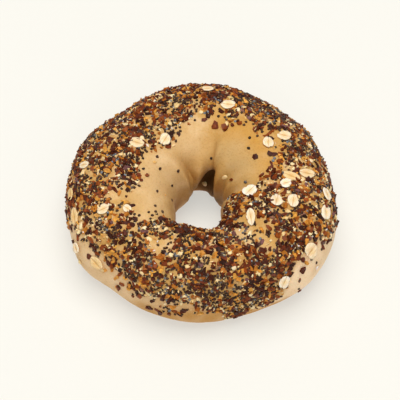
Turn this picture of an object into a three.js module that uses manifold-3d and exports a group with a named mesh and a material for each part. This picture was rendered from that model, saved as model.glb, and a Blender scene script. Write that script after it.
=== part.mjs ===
// A topped bagel: one ring of baked dough with oat flakes, onion chips and sesame seeds baked onto its crown.
// Millimetres, +Z up. The ring lies on z = 0, and the origin is below the middle of its outline.
// Right is +X and back is +Y. A place on the dough is a turn round the ring, from the right over the back,
// and an angle across its section: 0 is the outer side, 90 the crown, 180 the hole's wall and 270 the foot.
import * as THREE from "three";
import { ParametricGeometry } from "three/addons/geometries/ParametricGeometry.js";
import { mergeVertices } from "three/addons/utils/BufferGeometryUtils.js";
import Module from "manifold-3d";

// Driving dimensions. Each list runs round the ring in equal steps.
const outerRadii = [
  51.6, 51.1, 51.4, 49.4, 50.2, 50.5, 49.9, 50.3, 50.1, 49.9, 53.1, 53.2,
  52.8, 52.7, 53.3, 50.1, 50.1, 50.0, 50.2, 50.2, 51.7, 54.6, 54.7, 54.1,
];
const holeRadii = [
  8.9, 8.6, 5.2, 4.3, 4.3, 8.6, 8.7, 7.7, 6.8, 6.0, 5.5, 6.7,
  8.0, 10.0, 11.2, 14.8, 18.6, 18.2, 18.5, 19.8, 16.3, 11.8, 9.2, 11.4,
];
const crownHeights = [37.3, 38.0, 37.7, 36.8, 36.4, 37.1];
const beltHeight = 15.5; // where the ring is widest
const crownFullness = 2.2; // section exponents: 2 is an ellipse, and more is fuller
const footFullness = 2.5;
const footDepth = 3; // how much of the round section the flat foot takes away

// The end of the dough rope lies over its start at the back of the hole: a lobe between two creases, with a
// hollow under its lip. The slant raises both towards the right, in degrees across for each degree of turn.
const creases = [
  { turnAbove: 140, turnBelow: 113, width: 15, depth: 3.4 },
  { turnAbove: 70, turnBelow: 57, width: 10, depth: 5.4 },
];
const creaseBottom = 2; // rounding, in degrees of turn
const creaseFade = { starts: 105, full: 170, eases: 215, ends: 250 }; // across the section
const creaseLean = { from: 120, to: 170 }; // the stretch where it runs from its turn above to the one below
const lobe = { turn: 90, halfTurn: 36, across: 160, spread: 20, height: 2.8, slant: 0.75 };
const hollowUnderLobe = { turn: 84, halfTurn: 32, across: 190, spread: 13, height: -9, slant: 0.75 };
const patchFade = { from: 0.6, to: 1.15 }; // of the half turn, both for the lobe and for the hollow
// Slow lumps of hand-rolled dough: waves round the ring, waves across it, phase and height.
const lumps = [
  { round: 2, across: 1, phase: 0.6, height: 0.5 },
  { round: 3, across: 2, phase: 2.1, height: 0.45 },
  { round: 5, across: 1, phase: 4.0, height: 0.35 },
  { round: 7, across: 3, phase: 1.0, height: 0.25 },
];
const calmFoot = { from: 0.35, to: 0.8 }; // where the lumps fade out, as a share of the way down to the foot

// The topping's limits across the section, in degrees, towards the hole and towards the outer side.
const toppingInnerEdge = [
  106, 90, 85, 87, 88, 93, 92, 102, 111, 113, 109, 106, 104, 100, 94, 102, 146, 158, 158, 161, 164, 160, 153, 124,
];
const toppingOuterEdge = [
  -2, -14, -18, -19, -20, -20, -20, -19, -18, -17, -16, -14, -6, 14, 36, 27, 10, 4, 2, -24, -24, 32, 34, 12,
];

// Oat flakes where the front shows them, with the heading of the long side from +X, and how far each one is
// propped up towards level, in degrees.
const seenFlakes = [
  { turn: 154, across: 93, length: 6.2, width: 4.6, heading: -10, propped: 0 },
  { turn: 134, across: 108, length: 5.1, width: 4.4, heading: 60, propped: 12 },
  { turn: 71, across: 82, length: 5.7, width: 4.6, heading: 5, propped: 0 },
  { turn: 86, across: 61, length: 5.0, width: 4.0, heading: 0, propped: 0 },
  { turn: 25, across: 90, length: 5.2, width: 4.2, heading: 75, propped: 0 },
  { turn: 26, across: 74, length: 5.2, width: 4.8, heading: -20, propped: 8 },
  { turn: 336, across: 119, length: 5.6, width: 5.2, heading: 70, propped: 25 },
  { turn: 334, across: 90, length: 6.2, width: 4.8, heading: 85, propped: 0 },
  { turn: 338, across: 78, length: 5.8, width: 4.5, heading: 85, propped: 8 },
  { turn: 350, across: 88, length: 4.9, width: 4.2, heading: 0, propped: 0 },
  { turn: 0, across: 62, length: 6.0, width: 4.4, heading: -10, propped: 6 },
  { turn: 356, across: 81, length: 6.8, width: 3.8, heading: -40, propped: 0 },
  { turn: 352, across: 40, length: 5.6, width: 4.4, heading: 90, propped: 8 },
  { turn: 342, across: 42, length: 6.4, width: 4.4, heading: 90, propped: 8 },
  { turn: 311, across: 101, length: 7.6, width: 3.5, heading: 85, propped: 0 },
  { turn: 323, across: 35, length: 6.4, width: 6.0, heading: 60, propped: 14 },
  { turn: 307, across: 21, length: 5.0, width: 4.4, heading: 95, propped: 24 },
  { turn: 219, across: 16, length: 6.6, width: 4.2, heading: 105, propped: 16 },
  { turn: 208, across: 14, length: 4.4, width: 3.4, heading: 95, propped: 18 },
  { turn: 204, across: 68, length: 5.0, width: 4.0, heading: 20, propped: 0 },
  { turn: 211, across: 89, length: 3.8, width: 3.0, heading: -30, propped: 0 },
  { turn: 174, across: 52, length: 4.8, width: 3.4, heading: -20, propped: 0 },
  { turn: 198, across: 33, length: 6.6, width: 4.2, heading: 90, propped: 8 },
  { turn: 186, across: 33, length: 5.0, width: 3.4, heading: 90, propped: 8 },
];
// The stretches that the rest is spread over, as turns and a highest place across.
const allRound = { from: 0, to: 360, highest: 180 };
const farSide = { from: 25, to: 155, highest: 34 };
// The rest: where, how many, how far each kind keeps clear, its sizes, its lift off the dough and its lean.
const oats = {
  stretch: farSide,
  count: 8,
  reach: 3.2,
  length: [4.6, 6.2],
  width: [3.6, 4.8],
  thickness: 1.1,
  lift: 0.35,
  tilt: 0.2,
};
const chips = {
  stretch: allRound,
  count: 170,
  reach: 1.8,
  length: [3.2, 5.0],
  width: [2.4, 3.4],
  thickness: 0.9,
  lift: 0.55,
  tilt: 0.3,
};
const sesame = {
  stretch: allRound,
  count: 72,
  reach: 1.4,
  length: [3.0, 3.4],
  width: [1.8, 2.2],
  thickness: 1.1,
  lift: 0.3,
  tilt: 0.2,
};
const proppedLift = 0.25; // of a propped flake's width and slope
const flakeCorners = 8;
const chipCorners = 5;
const seedTaper = 0.7; // how much narrower a sesame seed gets along its length
const randomSeed = 8;

const roundSteps = 76; // facets round the ring and round its section
const sectionSteps = 34;
const boardWidth = 150; // of the board that cuts the foot flat
const boardDepth = 20;
const crowding = 0.45; // how much smaller the section's facets are on the hole's wall
const weldDistance = 1e-4;
const nudge = 0.5; // degrees either way, to find how the dough's surface runs

const degrees = Math.PI / 180;
const fullTurn = 360;

function ringValue(values, turn) {
  const steps = values.length;
  const place = (((turn / fullTurn) % 1) + 1) % 1 * steps;
  const i = Math.floor(place);
  const t = place - i;
  const [a, b, c, d] = [-1, 0, 1, 2].map((k) => values[(i + k + steps) % steps]);
  return b + 0.5 * t * (c - a + t * (2 * a - 5 * b + 4 * c - d + t * (3 * b - a - 3 * c + d)));
}

const signedPower = (value, power) => Math.sign(value) * Math.abs(value) ** power;
const turnBetween = (a, b) => ((((a - b + 180) % fullTurn) + fullTurn) % fullTurn) - 180;
const bell = (distance, width) => Math.exp(-((distance / width) ** 2));

// A swelling or hollow that fades out both round the ring and across it.
function patchHeight(patch, turn, across) {
  const offset = turnBetween(turn, patch.turn);
  const fade = [patchFade.from * patch.halfTurn, patchFade.to * patch.halfTurn];
  const inside = 1 - THREE.MathUtils.smoothstep(Math.abs(offset), ...fade);
  return patch.height * inside * bell(across - patch.across - patch.slant * offset, patch.spread);
}

// Two soft cheeks of dough meet in each crease, deeper down the hole's wall.
function creaseHeight(turn, across) {
  const { clamp, lerp, smoothstep } = THREE.MathUtils;
  const { starts, full, eases, ends } = creaseFade;
  const onWall = smoothstep(across, starts, full) * (1 - smoothstep(across, eases, ends));
  const down = clamp((across - creaseLean.from) / (creaseLean.to - creaseLean.from), 0, 1);
  return creases.reduce((sum, crease) => {
    const offset = turnBetween(turn, lerp(crease.turnAbove, crease.turnBelow, down));
    return sum - crease.depth * onWall * Math.exp(-Math.hypot(offset, creaseBottom) / crease.width);
  }, 0);
}

function lumpHeight(turn, across) {
  return lumps.reduce((sum, wave) => {
    const angle = (wave.round * turn + wave.across * across) * degrees + wave.phase;
    return sum + wave.height * Math.sin(angle);
  }, 0);
}

// A superellipse section between the hole's wall and the outer side, swollen along its radius from the belt.
function doughPoint(turn, across, target = new THREE.Vector3()) {
  const outer = ringValue(outerRadii, turn);
  const hole = ringValue(holeRadii, turn);
  const around = turn * degrees;
  const [c, s] = [Math.cos(across * degrees), Math.sin(across * degrees)];
  const power = 2 / (s >= 0 ? crownFullness : footFullness);
  const rise = s >= 0 ? ringValue(crownHeights, turn) - beltHeight : beltHeight + footDepth;
  const aboveFoot = 1 - THREE.MathUtils.smoothstep(-s, calmFoot.from, calmFoot.to);
  const atLobe = patchHeight(lobe, turn, across) + patchHeight(hollowUnderLobe, turn, across);
  const swell = creaseHeight(turn, across) + atLobe + aboveFoot * lumpHeight(turn, across);
  const radius = (outer + hole) / 2 + ((outer - hole) / 2) * signedPower(c, power) + swell * c;
  const height = beltHeight + rise * signedPower(s, power) + swell * s * aboveFoot;
  return target.set(radius * Math.cos(around), radius * Math.sin(around), height);
}

const wasm = await Module();
wasm.setup();

function solidFrom(geometry) {
  const bare = geometry.clone();
  for (const name of Object.keys(bare.attributes)) {
    if (name !== "position") bare.deleteAttribute(name);
  }
  const merged = mergeVertices(bare, weldDistance);
  return new wasm.Manifold(
    new wasm.Mesh({
      numProp: 3,
      vertProperties: new Float32Array(merged.attributes.position.array),
      triVerts: new Uint32Array(merged.index.array),
    }),
  );
}

function geometryFrom(solid) {
  const mesh = solid.getMesh();
  return new THREE.BufferGeometry()
    .setAttribute("position", new THREE.BufferAttribute(mesh.vertProperties, 3))
    .setIndex(new THREE.BufferAttribute(mesh.triVerts, 1));
}

// The ring, with its section's facets closer together on the hole's wall, where the creases are.
// A level board cuts its foot flat.
function doughSolid() {
  const ring = new ParametricGeometry(
    (u, v, target) => {
      const w = v % 1;
      const across = fullTurn * (w + (crowding * Math.sin(2 * Math.PI * w)) / (2 * Math.PI));
      doughPoint((u % 1) * fullTurn, across, target);
    },
    roundSteps,
    sectionSteps,
  );
  const board = new THREE.BoxGeometry(boardWidth, boardWidth, boardDepth).translate(0, 0, -boardDepth / 2);
  return solidFrom(ring).subtract(solidFrom(board));
}

function seededRandom(seed) {
  let state = seed;
  return () => {
    state = (state + 0x6d2b79f5) | 0;
    let t = Math.imul(state ^ (state >>> 15), 1 | state);
    t = (t + Math.imul(t ^ (t >>> 7), 61 | t)) ^ t;
    return ((t ^ (t >>> 14)) >>> 0) / 2 ** 32;
  };
}

const random = seededRandom(randomSeed);
const between = (low, high) => low + (high - low) * random();

// An oat flake: a flat oval with a thin rim and a low flat top.
function oatFlake(length, width, thickness) {
  const profile = [
    [0, -0.5],
    [0.5, -0.1],
    [0.36, 0.5],
    [0, 0.5],
  ].map(([radius, height]) => new THREE.Vector2(radius, height));
  return new THREE.LatheGeometry(profile, flakeCorners).rotateX(Math.PI / 2).scale(length, width, thickness);
}

// A chip of toasted onion: a thin plate with uneven corners.
function onionChip(length, width, thickness) {
  const corners = Array.from({ length: chipCorners }, (_, i) => {
    const angle = ((i + between(0, 0.5)) / chipCorners) * 2 * Math.PI;
    const reach = between(0.4, 0.58);
    return new THREE.Vector2(length * reach * Math.cos(angle), width * reach * Math.sin(angle));
  });
  const outline = new THREE.Shape(corners);
  const plate = new THREE.ExtrudeGeometry(outline, { depth: thickness, bevelEnabled: false });
  return plate.translate(0, 0, -thickness / 2);
}

// A sesame seed: a flat drop, narrower towards one end.
function sesameSeed(length, width, thickness) {
  const seed = new THREE.IcosahedronGeometry(0.5, 0);
  const position = seed.attributes.position;
  for (let i = 0; i < position.count; i += 1) {
    const x = position.getX(i);
    const narrowing = 1 - seedTaper * x;
    position.setXYZ(i, length * x, width * narrowing * position.getY(i), thickness * position.getZ(i));
  }
  return seed;
}

// Lays a geometry on the dough, its own Z along the surface's normal, turned by spin and leaning by tilt.
function layOnDough(geometry, place, lift, spin, tilt) {
  const { turn, across } = place;
  const along = doughPoint(turn + nudge, across).sub(doughPoint(turn - nudge, across));
  const over = doughPoint(turn, across + nudge).sub(doughPoint(turn, across - nudge));
  const normal = along.clone().cross(over).normalize();
  const side = along.normalize();
  const pose = new THREE.Matrix4().makeBasis(side, normal.clone().cross(side), normal);
  const lean = new THREE.Matrix4().makeRotationFromEuler(new THREE.Euler(tilt, 0, spin, "ZXY"));
  pose.setPosition(doughPoint(turn, across).addScaledVector(normal, lift));
  return geometry.applyMatrix4(lean).applyMatrix4(pose);
}

const taken = [];

// Even places in the topped band: steps of irrational shares of its turn and width, fewer where it is narrow.
function spreadPlaces({ count, reach, stretch }) {
  const [shareRound, shareAcross, shareKept] = [0.8191725, 0.6710436, 0.5497005];
  const places = [];
  for (let i = 1; places.length < count; i += 1) {
    const turn = stretch.from + ((i * shareRound) % 1) * (stretch.to - stretch.from);
    const low = ringValue(toppingOuterEdge, turn);
    const high = Math.min(ringValue(toppingInnerEdge, turn), stretch.highest);
    const across = low + (high - low) * ((i * shareAcross) % 1);
    const point = doughPoint(turn, across);
    const room = Math.hypot(point.x, point.y) / Math.max(...outerRadii);
    const isClear = taken.every((other) => other.point.distanceTo(point) > other.reach + reach);
    if ((i * shareKept) % 1 < room && isClear) {
      places.push({ turn, across });
      taken.push({ point, reach });
    }
  }
  return places;
}

function seenOats() {
  return seenFlakes.map((flake) => {
    const spin = (flake.heading - flake.turn - 90) * degrees;
    const slope = flake.propped * degrees * Math.sign(flake.across - 90);
    const lift = oats.lift + proppedLift * flake.width * Math.abs(Math.sin(slope));
    taken.push({ point: doughPoint(flake.turn, flake.across), reach: flake.length / 2 });
    return layOnDough(oatFlake(flake.length, flake.width, oats.thickness), flake, lift, spin, slope);
  });
}

// As many pieces of a kind as it states, each made to its sizes, turned at random and leaning a little.
function spreadPieces(kind, makePiece) {
  return spreadPlaces(kind).map((place) => {
    const piece = makePiece(between(...kind.length), between(...kind.width), kind.thickness);
    return layOnDough(piece, place, kind.lift, between(0, 2 * Math.PI), between(-kind.tilt, kind.tilt));
  });
}

// The toppings are baked on, so all is one solid. Its largest body alone is kept: no sealed hollow or scrap.
function toppedShape() {
  const pieces = [
    ...seenOats(),
    ...spreadPieces(oats, oatFlake),
    ...spreadPieces(chips, onionChip),
    ...spreadPieces(sesame, sesameSeed),
  ];
  const fused = wasm.Manifold.union([doughSolid(), ...pieces.map(solidFrom)]);
  const [baked] = fused.decompose().sort((a, b) => b.volume() - a.volume());
  const shape = geometryFrom(baked);
  shape.computeVertexNormals();
  return shape;
}

const bagel = new THREE.Mesh(
  toppedShape(),
  new THREE.MeshStandardMaterial({ name: "baked_dough", color: "#b07a3f", roughness: 0.75, metalness: 0 }),
);
bagel.name = "bagel";

const part = new THREE.Group();
part.name = "root";
part.add(bagel);

export default part;
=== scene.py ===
# A topped bagel: boiled and baked dough under poppy seeds, toasted onion, garlic, sesame and rolled oats.
import math

import bmesh
import bpy
import numpy as np
from mathutils import Euler, Matrix, Vector, noise


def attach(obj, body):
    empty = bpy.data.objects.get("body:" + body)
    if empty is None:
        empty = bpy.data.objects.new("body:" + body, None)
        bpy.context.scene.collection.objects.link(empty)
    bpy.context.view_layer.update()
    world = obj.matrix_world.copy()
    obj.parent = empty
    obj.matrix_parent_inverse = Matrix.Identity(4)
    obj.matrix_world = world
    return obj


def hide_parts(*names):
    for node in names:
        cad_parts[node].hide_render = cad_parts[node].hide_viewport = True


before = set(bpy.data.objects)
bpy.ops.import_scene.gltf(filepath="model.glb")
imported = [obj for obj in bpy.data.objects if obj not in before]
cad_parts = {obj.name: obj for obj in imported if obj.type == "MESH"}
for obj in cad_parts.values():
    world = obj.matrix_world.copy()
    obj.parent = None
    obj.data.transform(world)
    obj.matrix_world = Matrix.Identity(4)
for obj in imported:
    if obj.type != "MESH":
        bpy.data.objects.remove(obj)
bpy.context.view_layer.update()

mm = 0.001
bodyName = "root"
draw = np.random.default_rng(23)  # every random draw in this script comes from here, in order
colourA, colourB, mixed = 6, 7, 2  # a Mix node's colour sockets by number, as others share their names
mix = {"data_type": "RGBA"}
multiply = {"data_type": "RGBA", "blend_type": "MULTIPLY"}


def linearColour(hexColour):
    channels = [int(hexColour[i:i + 2], 16) / 255 for i in (1, 3, 5)]
    return [c / 12.92 if c <= 0.04045 else ((c + 0.055) / 1.055) ** 2.4 for c in channels] + [1.0]


def feed(tree, node, inputs):  # sets a value, links a socket, or links a node's first output
    for name, value in inputs.items():
        source = value.outputs[0] if isinstance(value, bpy.types.Node) else value
        if isinstance(source, bpy.types.NodeSocket):
            tree.links.new(source, node.inputs[name])
        else:
            node.inputs[name].default_value = source


def addNode(tree, kind, settings=None, inputs=None, stops=()):  # stops are a ramp's places and colours
    node = tree.nodes.new(kind)
    for name, value in (settings or {}).items():
        setattr(node, name, value)
    feed(tree, node, inputs or {})
    if stops:
        elements = node.color_ramp.elements
        while len(elements) < len(stops):
            elements.new(0.5)
        for element, (place, colour) in zip(elements, stops):
            element.position = place
            element.color = linearColour(colour)
    return node


def newMaterial(name, evenValues):  # with the shader values that are the same all over
    material = bpy.data.materials.new(name)
    material.use_nodes = True
    surface = material.node_tree.nodes["Principled BSDF"]
    feed(material.node_tree, surface, evenValues)
    return material, material.node_tree, surface


# Camera and light.
shot = {
    "elevation": 57.0,  # degrees above the horizon
    "distance": 0.700,
    "aim": (0.0, 0.0, 0.016),
    "millimetresPerPixel": 0.3956,  # at the aim
    "pixelsAcross": 400,
    "aimPixel": (201.0, 200.3),  # where the aim falls in the picture
    "sensor": 36.0,
}


def placeCamera():
    pixel = shot["millimetresPerPixel"] * mm
    tilt = math.radians(shot["elevation"])
    forward = Vector((0, math.cos(tilt), -math.sin(tilt)))
    right = Vector((1, 0, 0))
    up = right.cross(forward)
    middle = shot["pixelsAcross"] / 2
    aside = (middle - shot["aimPixel"][0]) * pixel
    above = (shot["aimPixel"][1] - middle) * pixel
    camera = bpy.data.cameras.new("camera")
    camera.sensor_width = shot["sensor"]
    camera.lens = shot["sensor"] * shot["distance"] / (shot["pixelsAcross"] * pixel)
    camera.clip_start = 0.01
    holder = bpy.data.objects.new("camera", camera)
    bpy.context.scene.collection.objects.link(holder)
    holder.location = Vector(shot["aim"]) - shot["distance"] * forward + aside * right + above * up
    holder.rotation_euler = forward.to_track_quat("-Z", "Y").to_euler()
    bpy.context.scene.camera = holder


studio = {  # lengths in metres, powers in watts
    "worldColour": "#fbfaf8",
    "worldStrength": 0.46,
    "softbox": {"place": (0.0, 0.06, 0.95), "size": 0.80, "power": 7.9, "colour": "#fffdfa"},
    "frontFill": {"place": (0.10, -0.95, 0.55), "size": 0.8, "power": 2.4, "colour": "#fffdfa"},
    "floorColour": "#aaa59d",
    "floorTooth": "#a8a39b",
    "floorToothScale": 600.0,  # per metre
    "floorGlow": "#f9fdf9",
    "floorGlowStrength": 0.51,
    "floorHalf": 8.0,
}


def lightStudio():
    scene = bpy.context.scene
    scene.view_settings.view_transform = "Standard"
    world = bpy.data.worlds.new("studioWorld")
    world.use_nodes = True
    background = world.node_tree.nodes["Background"]
    background.inputs["Color"].default_value = linearColour(studio["worldColour"])
    background.inputs["Strength"].default_value = studio["worldStrength"]
    scene.world = world
    for name in ("softbox", "frontFill"):
        values = studio[name]
        lamp = bpy.data.lights.new(name, "AREA")
        lamp.shape = "DISK"
        lamp.size = values["size"]
        lamp.energy = values["power"]
        lamp.color = linearColour(values["colour"])[:3]
        holder = bpy.data.objects.new(name, lamp)
        scene.collection.objects.link(holder)
        holder.location = values["place"]
        holder.rotation_euler = (Vector(shot["aim"]) - holder.location).to_track_quat("-Z", "Y").to_euler()


def layFloor():
    # Matt paper lit from below too: no gloss, light shadows.
    material, tree, surface = newMaterial("backlitPaper", {
        "Roughness": 0.95, "Specular IOR Level": 0.1, "Emission Color": linearColour(studio["floorGlow"]),
        "Emission Strength": studio["floorGlowStrength"],
    })
    tooth = addNode(tree, "ShaderNodeTexNoise", {}, {
        "Vector": addNode(tree, "ShaderNodeTexCoord").outputs["Object"], "Scale": studio["floorToothScale"],
    })
    tone = addNode(tree, "ShaderNodeMix", mix, {
        "Factor": tooth, colourA: linearColour(studio["floorColour"]),
        colourB: linearColour(studio["floorTooth"]),
    })
    feed(tree, surface, {"Base Color": tone.outputs[mixed]})
    half = studio["floorHalf"]
    corners = [(-half, -half, 0), (half, -half, 0), (half, half, 0), (-half, half, 0)]
    mesh = bpy.data.meshes.new("floor")
    mesh.from_pydata(corners, [], [(0, 1, 2, 3)])
    mesh.materials.append(material)
    floor = bpy.data.objects.new("floor", mesh)
    bpy.context.scene.collection.objects.link(floor)


placeCamera()
lightStudio()
layFloor()
print("camera, light and floor are in")

# The dough's form.
# Lists run round the ring in equal steps, from the right over the back. Across the section 0 is the outer
# side, 90 the crown, 180 the hole's wall and 270 the foot. Lengths are millimetres and angles degrees.
dough = {
    "outerRadii": [
        51.6, 51.1, 51.4, 49.4, 50.2, 50.5, 49.9, 50.3, 50.1, 49.9, 53.1, 53.2,
        52.8, 52.7, 53.3, 50.1, 50.1, 50.0, 50.2, 50.2, 51.7, 54.6, 54.7, 54.1,
    ],
    "holeRadii": [
        8.9, 8.6, 5.2, 4.3, 4.3, 8.6, 8.7, 7.7, 6.8, 6.0, 5.5, 6.7,
        8.0, 10.0, 11.2, 14.8, 18.6, 18.2, 18.5, 19.8, 16.3, 11.8, 9.2, 11.4,
    ],
    "crownHeights": [37.3, 38.0, 37.7, 36.8, 36.4, 37.1],
    "beltHeight": 15.5,  # where the section is widest
    "crownFullness": 2.2,  # 2 is an ellipse, more is squarer
    "footFullness": 2.5,
    "footDepth": 3.0,  # how much of the round underside the flat foot cuts off
    "creases": [  # from the crown, above, down to the hole, below
        {"turnAbove": 140, "turnBelow": 113, "width": 15, "depth": 3.4},
        {"turnAbove": 70, "turnBelow": 57, "width": 10, "depth": 5.4},
    ],
    "creaseBottom": 2.0,  # how wide the rounded bottom of a crease is
    "creaseFade": (105, 170, 215, 250),  # across: starts, is full, eases, ends
    "creaseLean": (120, 170),  # across: over this stretch a crease turns to its lower place
    "lobe": {"turn": 90, "halfTurn": 36, "across": 160, "spread": 20, "height": 2.8, "slant": 0.75},
    "hollow": {"turn": 84, "halfTurn": 32, "across": 190, "spread": 13, "height": -9.0, "slant": 0.75},
    "patchFade": (0.6, 1.15),  # of a patch's half turn
    "lumps": [  # waves round the ring, waves across it, phase and height
        (2, 1, 0.6, 0.5), (3, 2, 2.1, 0.45), (5, 1, 4.0, 0.35), (7, 3, 1.0, 0.25),
    ],
    "calmFoot": (0.35, 0.8),  # of the way down, where the lumps fade
    "roundSteps": 384,
    "sectionSteps": 216,
    "crowding": 0.45,  # how much closer the steps lie on the hole's side
}


def smoothStep(low, high, value):
    t = np.clip((value - low) / (high - low), 0, 1)
    return t * t * (3 - 2 * t)


def turnBetween(a, b):
    return (a - b + 180) % 360 - 180


def signedPower(value, power):
    return np.sign(value) * np.abs(value) ** power


def ringValue(values, turn):  # a smooth closed curve through the values
    values = np.asarray(values, float)
    steps = len(values)
    place = (np.asarray(turn) / 360 % 1) * steps
    i = np.floor(place).astype(int)
    t = place - i
    a, b, c, d = (values[(i + k) % steps] for k in (-1, 0, 1, 2))
    return b + 0.5 * t * (c - a + t * (2 * a - 5 * b + 4 * c - d + t * (3 * b - a - 3 * c + d)))


def patchHeight(patch, turn, across):
    offset = turnBetween(turn, patch["turn"])
    low, high = (edge * patch["halfTurn"] for edge in dough["patchFade"])
    inside = 1 - smoothStep(low, high, np.abs(offset))
    centre = patch["across"] + patch["slant"] * offset
    return patch["height"] * inside * np.exp(-(((across - centre) / patch["spread"]) ** 2))


def creaseHeight(turn, across):
    starts, full, eases, ends = dough["creaseFade"]
    low, high = dough["creaseLean"]
    onWall = smoothStep(starts, full, across) * (1 - smoothStep(eases, ends, across))
    down = np.clip((across - low) / (high - low), 0, 1)
    total = 0
    for crease in dough["creases"]:
        centre = crease["turnAbove"] + (crease["turnBelow"] - crease["turnAbove"]) * down
        offset = np.hypot(turnBetween(turn, centre), dough["creaseBottom"])
        total = total - crease["depth"] * onWall * np.exp(-offset / crease["width"])
    return total


def doughPoints(turn, across):  # places on the ring to metres
    turn, across = np.broadcast_arrays(np.asarray(turn, float), np.asarray(across, float) % 360)
    outer = ringValue(dough["outerRadii"], turn)
    hole = ringValue(dough["holeRadii"], turn)
    around = np.radians(turn)
    c, s = np.cos(np.radians(across)), np.sin(np.radians(across))
    power = 2 / np.where(s >= 0, dough["crownFullness"], dough["footFullness"])
    upper = ringValue(dough["crownHeights"], turn) - dough["beltHeight"]
    rise = np.where(s >= 0, upper, dough["beltHeight"] + dough["footDepth"])
    aboveFoot = 1 - smoothStep(*dough["calmFoot"], -s)
    swell = creaseHeight(turn, across)
    swell = swell + patchHeight(dough["lobe"], turn, across) + patchHeight(dough["hollow"], turn, across)
    for wavesRound, wavesAcross, phase, height in dough["lumps"]:
        wave = np.sin(wavesRound * around + wavesAcross * np.radians(across) + phase)
        swell = swell + aboveFoot * height * wave
    radius = (outer + hole) / 2 + (outer - hole) / 2 * signedPower(c, power) + swell * c
    height = dough["beltHeight"] + rise * signedPower(s, power) + swell * s * aboveFoot
    height = np.maximum(height, 0)
    return np.stack([radius * np.cos(around), radius * np.sin(around), height], -1) * mm


def poseOnDough(turn, across, lift=0.0, spin=0.0, lean=(0.0, 0.0)):
    probe = 0.5  # degrees to each side
    along = doughPoints(turn + probe, across) - doughPoints(turn - probe, across)
    over = doughPoints(turn, across + probe) - doughPoints(turn, across - probe)
    normal = Vector(np.cross(along, over)).normalized()
    side = Vector(along).normalized()
    ahead = normal.cross(side)
    basis = Matrix((side, ahead, normal)).transposed().to_4x4()
    place = Vector(doughPoints(turn, across)) + normal * lift
    return Matrix.Translation(place) @ basis @ Euler((*lean, spin), "ZXY").to_matrix().to_4x4()


def noiseOver(points, size, seed):  # soft noise from about -1 to 1, with lumps of the given size in mm
    shift = Vector((seed * 7.31, seed * 3.77, seed * 5.13))  # seeds lie far apart in the noise
    scale = 1 / (size * mm)
    return np.array([noise.fractal(Vector(p) * scale + shift, 1.0, 2.0, 2) for p in points])


# Where the topping lies.
toppedBand = {
    "innerEdge": [  # across
        106, 90, 85, 87, 88, 93, 92, 102, 111, 113, 109, 106,
        104, 100, 94, 102, 146, 158, 158, 161, 164, 160, 153, 124,
    ],
    "outerEdge": [
        -2, -14, -18, -19, -20, -20, -20, -19, -18, -17, -16, -14,
        -6, 14, 36, 27, 10, 4, 2, -24, -24, 32, 34, 12,
    ],
    "raggedness": 11.0,  # degrees across that the edges wander
    "raggedSize": 9.0,  # mm
    "softness": 11.0,  # degrees across over which the topping thins out
    "bareSpots": [  # turn, across and radius in mm
        (308, 82, 6.5), (200, 85, 5.5), (244, 86, 4.5), (36, 99, 7.5), (222, 100, 4.0), (8, 110, 4.0),
    ],
}


def spotWeight(points, spots):  # 1 at the middle of a spot, fading over its radius
    weight = np.zeros(len(points))
    for turn, across, radius in spots:
        gap = np.linalg.norm(points - doughPoints(turn, across), axis=1) / (radius * mm)
        weight = np.maximum(weight, np.exp(-gap ** 2))
    return weight


steps = dough["roundSteps"], dough["sectionSteps"]
roundShare = np.arange(steps[0]) / steps[0]
sectionShare = np.arange(steps[1]) / steps[1]
acrossSteps = 360 * (sectionShare + dough["crowding"] * np.sin(2 * math.pi * sectionShare) / (2 * math.pi))
turnGrid, acrossGrid = (grid.ravel() for grid in np.meshgrid(roundShare * 360, acrossSteps, indexing="ij"))
gridPoints = doughPoints(turnGrid, acrossGrid)

wander = toppedBand["raggedness"] * noiseOver(gridPoints, toppedBand["raggedSize"], 1)
signedAcross = np.where(acrossGrid > 270, acrossGrid - 360, acrossGrid)
fromInner = ringValue(toppedBand["innerEdge"], turnGrid) - signedAcross + wander
fromOuter = signedAcross - ringValue(toppedBand["outerEdge"], turnGrid) + wander
edgeGap = np.minimum(fromInner, fromOuter)
topped = smoothStep(-toppedBand["softness"], toppedBand["softness"], edgeGap)
bareness = spotWeight(gridPoints, toppedBand["bareSpots"])
print("dough form worked out")


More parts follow.
